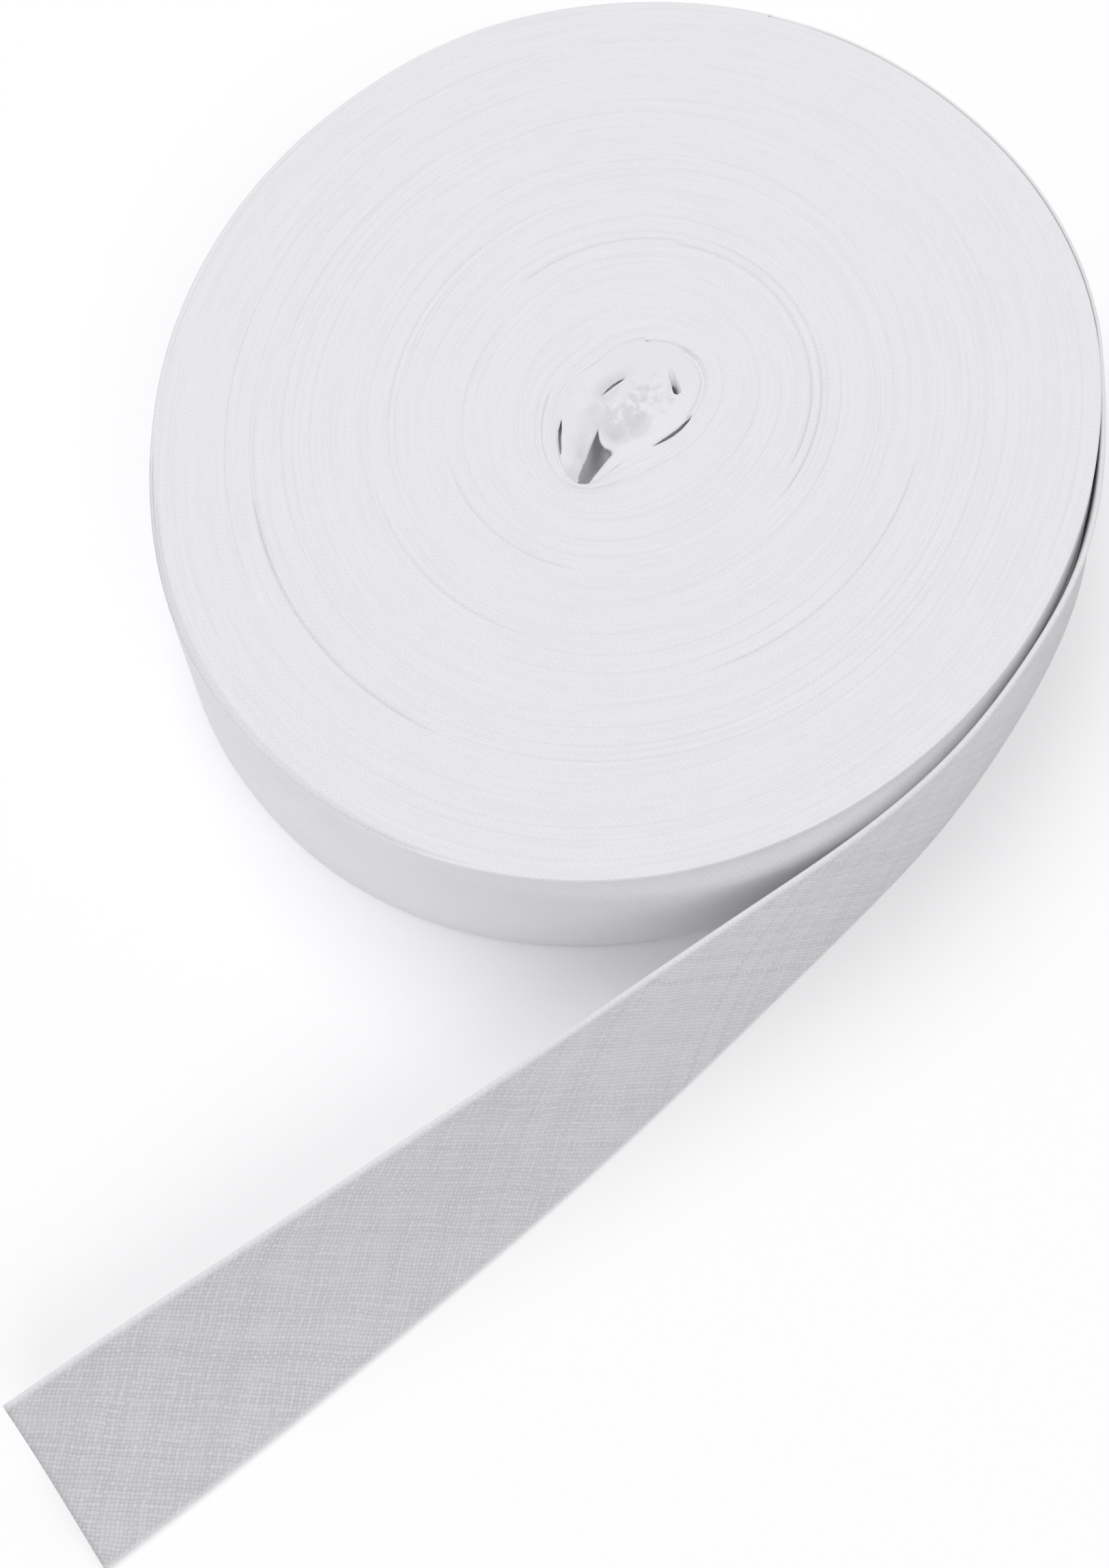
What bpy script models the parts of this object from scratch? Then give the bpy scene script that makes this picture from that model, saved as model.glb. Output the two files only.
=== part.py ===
"""Roll of bias tape: folded white cotton tape wound on nothing, lying on its side.

The roll is one slightly oval solid with the grooves between its main turns, and with the crumpled
inner end of the tape in its eye. The outer end has come off: it leans back as it leaves the roll
and runs to a square cut. Lengths are in metres, +Z is up, and the origin is on the surface that
the roll lies on, under the middle of the roll. Angles are seen from above, from +X towards +Y.
"""

import math

import bmesh
import bpy
from mathutils import Vector

MM = 0.001

# Driving dimensions
TAPE_WIDTH = 20 * MM
SHEET_THICKNESS = 1 * MM
CLEARANCE = 0.35 * MM
TAPE_LEAVES_AT = math.radians(30)
TAPE_LIFTS_FROM = math.radians(62)
RIM_ROUNDING = 0.8 * MM
COLLECTION_NAME = "roll_of_bias_tape"

# Ovals, each as centre x, centre y, long half, short half and the angle of the long axis
ROLL_OVAL = (0.0, 0.0, 61.3 * MM, 52.4 * MM, math.radians(70.5))
EYE_OVAL = (0.0, -4.0 * MM, 12.6 * MM, 7.8 * MM, math.radians(64))

# The loft that makes the roll
COLUMNS = 96
STEP_ANGLE = math.radians(0.4)
RIM_STEPS = 3
PLAIN_SHARES = (0.04, 0.15, 0.38, 0.62, 0.86, 0.94)
EYE_SHARES = (0.84, 0.62, 0.38, 0.16)
GROOVE_HALF_SHARE = 0.012
GROOVE_FADE = math.radians(14)
EYE_RECESS = 1.3 * MM
GAP_OVERRUN = 2 * MM

# Grooves between turns: share of the way from the eye to the wall, first and last angle in
# degrees, depth in millimetres
GROOVES = (
    (0.285, -150, 125, 0.45),
    (0.465, -165, -95, 0.40),
    (0.565, -85, 5, 0.45),
    (0.695, 115, 185, 0.35),
    (0.745, -185, -100, 0.60),
)

# Steps in height of the groups of turns: share where the group ends, height in millimetres
TURN_GROUPS = ((0.285, -0.15), (0.465, 0.05), (0.565, -0.05), (0.745, 0.10), (1.0, 0.0))

# Folds of the crumpled inner end: x, y, reach and height, in millimetres
EYE_FOLDS = (
    (-2.0, 0.4, 1.5, -2.2),
    (0.2, -3.6, 1.8, -1.5),
    (2.6, -3.4, 1.6, 1.2),
    (3.2, 2.6, 2.0, 0.9),
    (-4.6, -4.6, 2.2, 0.9),
    (7.0, 1.2, 1.6, 1.0),
    (1.2, -0.4, 1.2, 0.8),
)

# Gaps between those folds, as outlines of x and y in millimetres
EYE_GAPS = {
    "wedge": (
        (-4.3, -13.8), (-2.6, -11.2), (-1.5, -9.2), (-2.1, -8.2), (-2.9, -7.1), (-3.6, -7.6), (-4.9, -12.2),
    ),
    "left_slit": ((-6.9, -5.0), (-6.6, -7.4), (-6.2, -9.2), (-5.7, -10.6), (-6.5, -9.6), (-7.3, -7.4)),
    "loop_slot": ((5.1, 2.8), (5.9, 1.4), (6.2, -0.2), (5.5, -0.8), (5.0, 0.9)),
    "crescent": ((3.3, -7.2), (5.2, -5.8), (6.4, -4.2), (7.3, -2.4), (7.1, -4.3), (5.5, -6.7)),
}

# The loose end: x and y of its lower edge in millimetres, and its lean from the surface in degrees
LOOSE_END = (
    (57.0, 12.0, 84),
    (57.7, -7.0, 78),
    (53.2, -20.0, 81),
    (46.3, -32.8, 83),
    (38.4, -44.5, 81),
    (29.0, -55.6, 77),
    (19.4, -66.1, 70.5),
    (9.6, -76.6, 63.5),
    (-0.4, -86.8, 57),
    (-10.7, -96.6, 50),
    (-21.5, -106.5, 44),
    (-32.1, -116.0, 39),
    (-43.2, -125.6, 36),
)
SECTIONS_PER_ROW = 4
CUT_SKEW = math.radians(5)

COTTON = (0.83, 0.83, 0.85, 1.0)


def clear_scene():
    for obj in list(bpy.data.objects):
        bpy.data.objects.remove(obj, do_unlink=True)


def new_collection(name, hidden=False):
    collection = bpy.data.collections.new(name)
    collection.hide_render = hidden
    bpy.context.scene.collection.children.link(collection)
    return collection


def cotton_material(name):
    material = bpy.data.materials.new(name)
    material.use_nodes = True
    shader = material.node_tree.nodes["Principled BSDF"]
    shader.inputs["Base Color"].default_value = COTTON
    shader.inputs["Roughness"].default_value = 0.9
    shader.inputs["Metallic"].default_value = 0.0
    material.diffuse_color = COTTON
    return material


def object_from_bmesh(name, bm, collection, material=None):
    """A new object with outward faces, shaded smooth but for its real corners."""
    bmesh.ops.recalc_face_normals(bm, faces=bm.faces)
    mesh = bpy.data.meshes.new(name)
    bm.to_mesh(mesh)
    bm.free()
    obj = bpy.data.objects.new(name, mesh)
    collection.objects.link(obj)
    if material:
        mesh.materials.append(material)
    mesh.shade_smooth()
    mesh.set_sharp_from_angle(angle=math.radians(40))
    return obj


def oval_radius(oval, angle):
    """Distance from the origin to an oval around it, along a ray at this angle."""
    centre_x, centre_y, long_half, short_half, axis = oval
    start = Vector((-centre_x, -centre_y))
    ray = Vector((math.cos(angle), math.sin(angle)))
    along = Vector((math.cos(axis), math.sin(axis)))
    across = Vector((-along.y, along.x))
    start = Vector((start.dot(along) / long_half, start.dot(across) / short_half))
    ray = Vector((ray.dot(along) / long_half, ray.dot(across) / short_half))
    middle = start.dot(ray)
    inside = middle * middle - ray.length_squared * (start.length_squared - 1)
    return (math.sqrt(inside) - middle) / ray.length_squared


def turn_lift():
    """How far the last turn stands off the roll where the loose end begins."""
    return SHEET_THICKNESS + CLEARANCE


def wall_radius(angle, lifted):
    """The roll's wall. The last turn lifts off it as it comes round to where the tape leaves."""
    radius = oval_radius(ROLL_OVAL, angle)
    if lifted and TAPE_LEAVES_AT <= angle <= TAPE_LIFTS_FROM:
        share = (TAPE_LIFTS_FROM - angle) / (TAPE_LIFTS_FROM - TAPE_LEAVES_AT)
        radius += turn_lift() * share**2
    return radius


def column_angles():
    """Angle of each column of the loft, and whether the last turn still lies on the roll there.

    Two columns a little apart make the step where the tape leaves.
    """
    step = math.tau / COLUMNS
    even = [TAPE_LEAVES_AT + STEP_ANGLE + i * step for i in range(COLUMNS)]
    return [(angle, True) for angle in even] + [(TAPE_LEAVES_AT + math.tau, False)]


def arc_strength(angle, first, last):
    """1 inside the arc, fading to 0 past its ends."""
    middle = (first + last) / 2
    off = abs((angle - middle + math.pi) % math.tau - math.pi) - (last - first) / 2
    return min(1.0, max(0.0, 1 - off / GROOVE_FADE))


def face_height(share, angle):
    """Height of the roll's face, at a share of the way from the eye to the wall."""
    height = TAPE_WIDTH
    for group_end, rise in TURN_GROUPS:
        if share <= group_end:
            height += rise * MM
            break
    for groove_share, first, last, depth in GROOVES:
        if abs(share - groove_share) < GROOVE_HALF_SHARE / 2:
            height -= depth * MM * arc_strength(angle, math.radians(first), math.radians(last))
    return height


def face_shares():
    """Where the face has a ring of points: three at each groove, and some between."""
    shares = set(PLAIN_SHARES)
    for groove_share, _first, _last, _depth in GROOVES:
        shares.update((groove_share - GROOVE_HALF_SHARE, groove_share, groove_share + GROOVE_HALF_SHARE))
    return sorted(shares)


def eye_height(x, y, share):
    """Height of the crumpled inner end, at a share of the way from the origin to the lip."""
    height = TAPE_WIDTH + TURN_GROUPS[0][1] * MM - EYE_RECESS * (1 - share**2)
    for fold_x, fold_y, reach, rise in EYE_FOLDS:
        away = math.hypot(x / MM - fold_x, y / MM - fold_y) / reach
        height += rise * MM * math.exp(-away * away)
    return height


def column_points(angle, on_roll):
    """The roll's points down one column: out over the face, down the wall and in under it."""
    lip = oval_radius(EYE_OVAL, angle)
    wall = wall_radius(angle if angle < math.pi else angle - math.tau, on_roll)
    rim = wall - RIM_ROUNDING
    heading = Vector((math.cos(angle), math.sin(angle), 0))
    points = []
    for share in reversed(EYE_SHARES):
        spot = heading * (lip * share)
        points.append(spot + Vector((0, 0, eye_height(spot.x, spot.y, share))))
    for share in [0.0] + face_shares():
        spot = heading * (lip + (rim - lip) * share)
        points.append(spot + Vector((0, 0, face_height(share, angle))))
    for i in range(RIM_STEPS + 1):
        turn = math.pi / 2 * i / RIM_STEPS
        out = rim + RIM_ROUNDING * math.sin(turn)
        points.append(heading * out + Vector((0, 0, TAPE_WIDTH - RIM_ROUNDING * (1 - math.cos(turn)))))
    for i in range(RIM_STEPS + 1):
        turn = math.pi / 2 * i / RIM_STEPS
        out = rim + RIM_ROUNDING * math.cos(turn)
        points.append(heading * out + Vector((0, 0, RIM_ROUNDING * (1 - math.sin(turn)))))
    points.append(heading * lip)
    return points


def build_roll(collection, material):
    """The wound tape: a closed loft round the origin, with a point in the middle of each side."""
    bm = bmesh.new()
    columns = []
    for angle, on_roll in column_angles():
        columns.append([bm.verts.new(point) for point in column_points(angle, on_roll)])
    top = bm.verts.new((0, 0, eye_height(0, 0, 0)))
    bottom = bm.verts.new((0, 0, 0))
    for left, right in zip(columns, columns[1:] + columns[:1]):
        bm.faces.new((top, left[0], right[0]))
        bm.faces.new((bottom, right[-1], left[-1]))
        for upper, lower in zip(range(len(left) - 1), range(1, len(left))):
            bm.faces.new((left[upper], left[lower], right[lower], right[upper]))
    return object_from_bmesh("roll", bm, collection, material)


def build_gap_cutter(name, outline, collection):
    """A prism of this outline, longer than the roll is high."""
    bm = bmesh.new()
    corners = [bm.verts.new((x * MM, y * MM, -GAP_OVERRUN)) for x, y in outline]
    face = bm.faces.new(corners)
    extruded = bmesh.ops.extrude_face_region(bm, geom=[face])
    raised = [item for item in extruded["geom"] if isinstance(item, bmesh.types.BMVert)]
    bmesh.ops.translate(bm, verts=raised, vec=(0, 0, TAPE_WIDTH + 2 * GAP_OVERRUN))
    cutter = object_from_bmesh("cut_" + name, bm, collection)
    cutter.hide_render = True
    cutter.display_type = "WIRE"
    return cutter


def cut_eye_gaps(roll, collection):
    for name, outline in EYE_GAPS.items():
        modifier = roll.modifiers.new(name, "BOOLEAN")
        modifier.operation = "DIFFERENCE"
        modifier.object = build_gap_cutter(name, outline, collection)


def first_row():
    """The loose end starts upright, against the step in the roll's wall."""
    angle = TAPE_LEAVES_AT - STEP_ANGLE / 2
    radius = oval_radius(ROLL_OVAL, angle) + turn_lift()
    return Vector((radius * math.cos(angle), radius * math.sin(angle), math.pi / 2))


def smooth_between(before, start, end, after, share):
    """A point of the smooth curve through four rows, between the middle two."""
    slope_start = (end - before) / 2
    slope_end = (after - start) / 2
    rise = share * share * (3 - 2 * share)
    return (
        start * (1 - rise)
        + end * rise
        + slope_start * (share * (1 - share) ** 2)
        - slope_end * (share * share * (1 - share))
    )


def loose_end_path():
    """Rows of x, y and lean, evenly spread over the smooth curve through the table's rows."""
    rows = [first_row()]
    rows += [Vector((x * MM, y * MM, math.radians(lean))) for x, y, lean in LOOSE_END]
    rows = [2 * rows[0] - rows[1]] + rows + [2 * rows[-1] - rows[-2]]
    path = []
    for i in range(1, len(rows) - 2):
        for k in range(SECTIONS_PER_ROW):
            path.append(smooth_between(*rows[i - 1 : i + 3], k / SECTIONS_PER_ROW))
    path.append(rows[-2])
    return path


def build_loose_end(collection, material):
    """The unwound tape: a leaning sheet whose lower edge lies flat on the surface."""
    bm = bmesh.new()
    path = loose_end_path()
    sections = []
    for i, row in enumerate(path):
        ahead = path[min(i + 1, len(path) - 1)] - path[max(i - 1, 0)]
        inward = Vector((ahead.y, -ahead.x, 0)).normalized()
        lower = Vector((row.x, row.y, 0))
        up_face = inward * math.cos(row.z) + Vector((0, 0, math.sin(row.z)))
        through = inward * math.sin(row.z) - Vector((0, 0, math.cos(row.z)))
        upper = lower + up_face * TAPE_WIDTH
        if i == len(path) - 1:
            upper -= Vector((ahead.x, ahead.y, 0)).normalized() * (TAPE_WIDTH * math.tan(CUT_SKEW))
        corners = (
            lower,
            upper,
            upper + through * SHEET_THICKNESS,
            lower + inward * (SHEET_THICKNESS / math.sin(row.z)),
        )
        sections.append([bm.verts.new(corner) for corner in corners])
    bm.faces.new(sections[0])
    bm.faces.new(sections[-1])
    for near, far in zip(sections, sections[1:]):
        for side in range(4):
            after = (side + 1) % 4
            bm.faces.new((near[side], near[after], far[after], far[side]))
    return object_from_bmesh("loose_end", bm, collection, material)


def main():
    clear_scene()
    parts = new_collection(COLLECTION_NAME)
    cutters = new_collection("cutters", hidden=True)
    roll = build_roll(parts, cotton_material("wound_cotton"))
    cut_eye_gaps(roll, cutters)
    build_loose_end(parts, cotton_material("loose_cotton"))


main()
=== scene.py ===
"""Looks of the roll of bias tape, on the frame of its two solids.

The roll is one long tape wound outwards from the eye, clockwise seen from above: a mesh of its
folded edges above and below, and of its outer face around the wall. The loose end is the same tape
with its real folds, two layers thick. The crumpled inner end fills the eye. Lengths are in
millimetres until a mesh is made, and angles are seen from above, from +X towards +Y.
"""

import math

import bpy
import numpy as np
from mathutils import Matrix, Vector


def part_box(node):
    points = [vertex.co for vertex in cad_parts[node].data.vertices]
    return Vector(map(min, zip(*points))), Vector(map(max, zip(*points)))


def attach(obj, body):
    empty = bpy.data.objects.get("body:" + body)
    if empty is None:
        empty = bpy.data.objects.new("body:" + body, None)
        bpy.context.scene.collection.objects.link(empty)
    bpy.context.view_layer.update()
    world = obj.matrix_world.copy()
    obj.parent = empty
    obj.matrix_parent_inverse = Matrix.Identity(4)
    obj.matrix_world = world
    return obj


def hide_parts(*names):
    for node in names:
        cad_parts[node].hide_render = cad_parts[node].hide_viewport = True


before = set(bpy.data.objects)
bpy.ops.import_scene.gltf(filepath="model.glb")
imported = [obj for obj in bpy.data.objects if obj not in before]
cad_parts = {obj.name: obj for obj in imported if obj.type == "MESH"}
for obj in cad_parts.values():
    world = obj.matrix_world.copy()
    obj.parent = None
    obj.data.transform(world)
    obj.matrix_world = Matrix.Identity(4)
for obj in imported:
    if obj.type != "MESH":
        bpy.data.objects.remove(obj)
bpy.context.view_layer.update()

MM = 0.001

# Sizes of the tape
TAPE_WIDTH = (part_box("loose_end")[1][2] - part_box("loose_end")[0][2]) / MM
CLOTH = 0.18
# Between the two layers of cloth: pressed flat in the roll, and springy where the tape is loose
LAYER_GAPS = (0.02, 0.28)
THREAD_PITCH = 0.42
RAW_EDGE_GAP = 0.7
FOLD_REACH = 0.55

# The roll's wall: long half, short half and the angle of the long axis
ROLL_OVAL = (61.3, 52.4, math.radians(70.5))
TURNS = 116
STEPS_PER_TURN = 168
TAPE_PARTS_AT = math.radians(75)

# How far the last turn has slackened outwards below its upper fold, by angle in degrees
SLACK = (
    (-125, 0.0), (-110, 0.2), (-95, 0.8), (-80, 1.6), (-70, 2.0), (-60, 1.8), (-50, 1.4), (-40, 1.06),
    (-30, 0.92), (-20, 0.8), (-10, 0.68), (0, 0.34), (5, 0.22), (12, 0.1), (20, 0.0),
)
# The slack grows between these distances below the upper fold, and ends over this height at the foot
SLACK_BETWEEN = (0.3, 3.2)
SLACK_FOOT = 4

# How far the roll's outline stands off the oval, by angle in degrees
BULGES = (
    (-180, -0.45), (-170, -0.68), (-160, -0.60), (-150, -0.30), (-143, -0.05), (-130, -0.05), (-118, 0.15),
    (-90, 0.30), (-60, 0.25), (-40, 0.38), (-27, 0.60), (-16, 0.85), (-4, 1.00), (9, 1.45), (19, 1.62),
    (27, 1.42), (35, 1.10), (44, 0.48), (50, 0.15), (60, -0.10), (75, -0.25), (90, -0.35), (100, -0.15),
    (110, 0.20), (120, 0.10), (130, -0.15), (150, -0.15), (165, -0.30),
)
BULGE_BLUR = 3.0
# The outer turns carry most of a bulge
BULGE_FADE = 5

# The eye's lip: distance from the origin, by angle in degrees
EYE_LIP = (
    (-175, 6.4), (-160, 7.6), (-145, 9.2), (-132, 11.0), (-120, 13.1), (-112, 14.5), (-107, 14.7),
    (-101, 12.9), (-93, 10.1), (-80, 8.9), (-62, 8.6), (-42, 8.4), (-22, 8.4), (-5, 8.8), (10, 9.3),
    (25, 9.4), (40, 9.0), (55, 8.2), (70, 7.2), (85, 6.3), (100, 5.4), (118, 4.7), (140, 4.3), (160, 5.0),
)
LIP_BLUR = 4.0
# Outer turns lose the lip's finer bends first
LIP_SMOOTHING = 0.55

# Grooves between turns: share of the way from the lip to the wall, first and last angle in
# degrees, depth
GROOVES = (
    (0.012, -175, -85, 0.12),
    (0.030, -165, -95, 0.18),
    (0.048, -160, -100, 0.08),
    (0.275, -140, -108, 0.20),
    (0.275, -20, 125, 0.22),
    (0.300, -30, 60, 0.22),
    (0.465, -142, -112, 0.22),
    (0.560, -68, -20, 0.18),
    (0.690, 130, 170, 0.12),
    (0.737, -165, -150, 0.12),
    (0.745, -150, -120, 0.50),
    (0.800, -185, -150, 0.10),
    (0.975, -155, -120, 0.35),
    (0.984, -160, -112, 0.50),
    (0.992, -150, -118, 0.55),
)
GROOVE_FADE = math.radians(12)
# The other grooves: depth, how much of it varies, and over how many turns
PLAIN_GROOVE = 0.03
GROOVE_NOISE = (0.9, 0.2)

# The loose end: x and y of its lower edge, and its lean from the surface in degrees
LOOSE_END = (
    (57.0, 12.0, 83.3),
    (57.7, -7.0, 79.2),
    (53.2, -20.0, 83),
    (46.3, -32.8, 84),
    (38.4, -44.5, 83),
    (29.0, -55.6, 79.5),
    (19.4, -66.1, 72.5),
    (9.6, -76.6, 65),
    (-0.4, -86.8, 58.5),
    (-10.7, -96.6, 52.5),
    (-21.5, -106.5, 46.5),
    (-32.1, -116.0, 40.5),
    (-43.2, -125.6, 37),
)
# Angles in degrees where the tape still lies on the roll
LYING_ON_ROLL = (75, 68, 61, 54, 47, 40, 33, 26, 20)
TAPE_STEP = 0.9
# How far the lower edge's cloth stands above the surface
LIFT = 0.02
# The cut is skewed by this much, by shortening the upper side of the tape's last part
CUT_SKEW = math.radians(5)
CUT_SKEW_FOR = 25
# Place along the cloth where the loose end starts, and how far it still looks as in the roll
LOOSE_START = 25000
PRESSED_FOR = 54
# Along the loose end: where its two layers open, with this much cupping, and where it cups further
OPENS_BETWEEN = (56, 95)
CUP_OPEN = 0.35
CUPS_BETWEEN = (120, 170)
CUP_FURTHER = 0.45
# A slow ripple of the opened tape: height, and its spacing and start along the tape
RIPPLE = 0.12
RIPPLE_SPACING = 23
RIPPLE_PHASE = 0.7
# Points across the folded tape: on each flap, round each fold and up the face
FLAP_POINTS, FOLD_POINTS, FACE_POINTS = 12, 8, 26

RNG = np.random.default_rng(20)


# Shape of the winding

def oval_radius(angle):
    long_half, short_half, axis = ROLL_OVAL
    return 1 / np.hypot(np.cos(angle - axis) / long_half, np.sin(angle - axis) / short_half)


def harmonics(table, blur, count=40, samples=1440):
    """A closed outline as a Fourier series, blurred by this many degrees."""
    even = np.linspace(-math.pi, math.pi, samples, endpoint=False)
    degrees, values = np.transpose(table)
    outline = np.interp(even, np.radians(degrees), values, period=math.tau)
    terms = []
    for h in range(count):
        scale = (1 if h == 0 else 2) / samples * math.exp(-0.5 * (h * math.radians(blur)) ** 2)
        cos_part = scale * (outline * np.cos(h * even)).sum()
        sin_part = scale * (outline * np.sin(h * even)).sum()
        terms.append((h, cos_part, sin_part))
    return terms


LIP_TERMS = harmonics(EYE_LIP, LIP_BLUR)
BULGE_TERMS = harmonics(BULGES, BULGE_BLUR)


def outline_at(terms, angle, smoothing=0.0):
    total = 0.0
    for h, cos_part, sin_part in terms:
        fade = np.exp(-smoothing * h * h)
        total = total + fade * (cos_part * np.cos(h * angle) + sin_part * np.sin(h * angle))
    return total


def turn_radius(angle, share):
    """Distance from the origin to the turn that is this share of the way from the lip to the wall."""
    lip = outline_at(LIP_TERMS, angle, LIP_SMOOTHING * share)
    wall = oval_radius(angle) + outline_at(BULGE_TERMS, angle) * share**BULGE_FADE
    return lip * (1 - share) + wall * share


def smooth_step(x):
    return x * x * (3 - 2 * x)


def ramp(value, low, high):
    """From 0 at low to 1 at high, without a corner."""
    return smooth_step(np.clip((value - low) / (high - low), 0, 1))


def smooth_noise(length, spacing, rng):
    """A smooth random line with values spread about 0, with a new value every so many steps."""
    knots = rng.normal(size=int(length / spacing) + 4)
    place = np.arange(length) / spacing
    i = place.astype(int)
    f = smooth_step(place - i)
    return knots[i] * (1 - f) + knots[i + 1] * f


def arc_strength(angle, first, last):
    """1 between two angles in degrees, and down to 0 beyond them."""
    middle = math.radians(first + last) / 2
    half = math.radians(last - first) / 2
    off = np.abs((angle - middle + math.pi) % math.tau - math.pi) - half
    return smooth_step(np.clip(1 - off / GROOVE_FADE, 0, 1))


# Meshes

def mesh_piece(name, points, faces, uv, material):
    """A new piece on the root body, from points in millimetres, quads, and places on the cloth.

    The places are one for each point, or one for each corner of each quad.
    """
    mesh = bpy.data.meshes.new(name)
    mesh.vertices.add(len(points))
    mesh.vertices.foreach_set("co", (np.asarray(points, float) * MM).ravel())
    faces = np.asarray(faces, np.int32)
    sides = faces.shape[1]
    mesh.loops.add(faces.size)
    mesh.loops.foreach_set("vertex_index", faces.ravel())
    mesh.polygons.add(len(faces))
    mesh.polygons.foreach_set("loop_start", np.arange(0, faces.size, sides, dtype=np.int32))
    mesh.polygons.foreach_set("loop_total", np.full(len(faces), sides, np.int32))
    mesh.update(calc_edges=True)
    layer = mesh.uv_layers.new(name="cloth")
    uv = np.asarray(uv, float) * MM
    layer.data.foreach_set("uv", (uv[faces] if uv.ndim == 2 else uv).ravel())
    mesh.validate()
    mesh.shade_smooth()
    mesh.materials.append(material)
    obj = bpy.data.objects.new(name, mesh)
    bpy.context.scene.collection.objects.link(obj)
    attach(obj, "root")
    return obj


def thicken(obj, thickness, offset):
    solid = obj.modifiers.new("cloth", "SOLIDIFY")
    solid.thickness = thickness * MM
    solid.offset = offset
    return solid


def grid_faces(rows, columns):
    """Quads of a grid of points, row by row."""
    i = np.arange(rows - 1)[:, None] * columns + np.arange(columns - 1)[None, :]
    return np.stack([i, i + 1, i + columns + 1, i + columns], -1).reshape(-1, 4)


def band_faces(rows, columns):
    """Quads of a grid of points, the other way round."""
    return grid_faces(rows, columns)[:, [0, 3, 2, 1]]


def joining_faces(first, second):
    """Quads between two lines of points."""
    return np.stack([first[:-1], first[1:], second[1:], second[:-1]], -1)


def ring_faces(rows, columns):
    """Quads of closed rings of points, one ring after another."""
    i = np.arange(rows - 1)[:, None] * columns
    j = np.arange(columns)[None, :]
    after = (j + 1) % columns
    return np.stack([i + j, i + columns + j, i + columns + after, i + after], -1).reshape(-1, 4)


# The wound turns

# Height of the folded edges on the roll's face
TURN_LEVEL = TAPE_WIDTH - 0.05
# How unevenly the folded edges stand: height, and its spacing in turns
CREST_NOISE = ((0.026, 0.11), (0.036, 0.7), (0.045, 3.3))
CREST_LIMIT = 0.2
# The crumpled end is level with the first turns: they come to their full heights and grooves
# between these numbers of turns
CREST_START = (0.8, 3)
GROOVE_START = (0.9, 2)
# Across one turn: share of its width, and share of the groove's depth
PROFILE = ((0.0, 1.0), (0.25, 0.35), (0.5, 0.0), (0.75, 0.35))
# The grooves of the underside are all this deep
UNDERSIDE_GROOVE = 0.2
# The last turn's outer edge: its radius, and how far each line of points is round it
EDGE_RADIUS = 0.22
EDGE_TURNS = np.linspace(0.35, 1.0, 4) * math.pi / 2
# Heights down the wall, closer together near the upper fold
WALL_TOP = TAPE_WIDTH - 0.4
WALL_FOOT = 0.22
WALL_LEVELS = WALL_TOP - (WALL_TOP - WALL_FOOT) * np.linspace(0, 1, 18) ** 1.7
# The wall's waves: depth, and spacing in turns
WALL_WAVE = (0.05, 0.05)


def winding():
    """Angle, x, y and place along the tape of each step of the boundary between turns."""
    steps = np.arange((TURNS + 1) * STEPS_PER_TURN + 1)
    angle = TAPE_PARTS_AT + math.tau - steps / STEPS_PER_TURN * math.tau
    radius = turn_radius(angle, steps / steps[-1])
    x = radius * np.cos(angle)
    y = radius * np.sin(angle)
    along = np.concatenate([[0], np.cumsum(np.hypot(np.diff(x), np.diff(y)))])
    return angle, x, y, along


def crest_heights(count):
    """How far each step of the tape's folded edge stands above or below the others."""
    height = np.zeros(count)
    for size, spacing in CREST_NOISE:
        height += size * smooth_noise(count, STEPS_PER_TURN * spacing, RNG)
    first, last = CREST_START
    height *= ramp(np.arange(count), first * STEPS_PER_TURN, last * STEPS_PER_TURN)
    return np.clip(height, -CREST_LIMIT, CREST_LIMIT)


def groove_depths(angle):
    """Depth of the groove inside each step, with the photo's main grooves."""
    count = len(angle)
    varies, spacing = GROOVE_NOISE
    depth = PLAIN_GROOVE * (1 + varies * smooth_noise(count, STEPS_PER_TURN * spacing, RNG))
    turn = np.arange(count) // STEPS_PER_TURN
    for groove_share, first, last, extra in GROOVES:
        own = turn == round(groove_share * (TURNS + 1))
        depth += own * extra * arc_strength(angle, first, last)
    first, last = GROOVE_START
    full = ramp(np.arange(count), first * STEPS_PER_TURN, last * STEPS_PER_TURN)
    return np.clip(depth, 0.01, 1.0) * full


def edge_lines(crest, level, side):
    """Lines of points round the last turn's outer edge.

    Each has its distance out from the roll's outline, its height, and its place across the cloth.
    """
    lines = []
    for turn in EDGE_TURNS:
        z = level + side * crest - side * EDGE_RADIUS * (1 - math.cos(turn))
        lines.append((EDGE_RADIUS * (math.sin(turn) - 1), z, EDGE_RADIUS * turn))
    return lines


def wall_lines(angle):
    """The same down the wall, where the last turn has slackened."""
    degrees = (np.degrees(angle) + 180) % 360 - 180
    slack = np.interp(degrees, *np.transpose(SLACK))
    wave_depth, wave_spacing = WALL_WAVE
    wave = wave_depth * smooth_noise(len(angle), STEPS_PER_TURN * wave_spacing, RNG)
    lines = []
    for z in WALL_LEVELS:
        out = wave * math.sin(math.pi * z / TAPE_WIDTH)
        out += slack * ramp(TAPE_WIDTH - z, *SLACK_BETWEEN) * min(1, z / SLACK_FOOT)
        lines.append((out, z, TAPE_WIDTH - z))
    return lines


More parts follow.
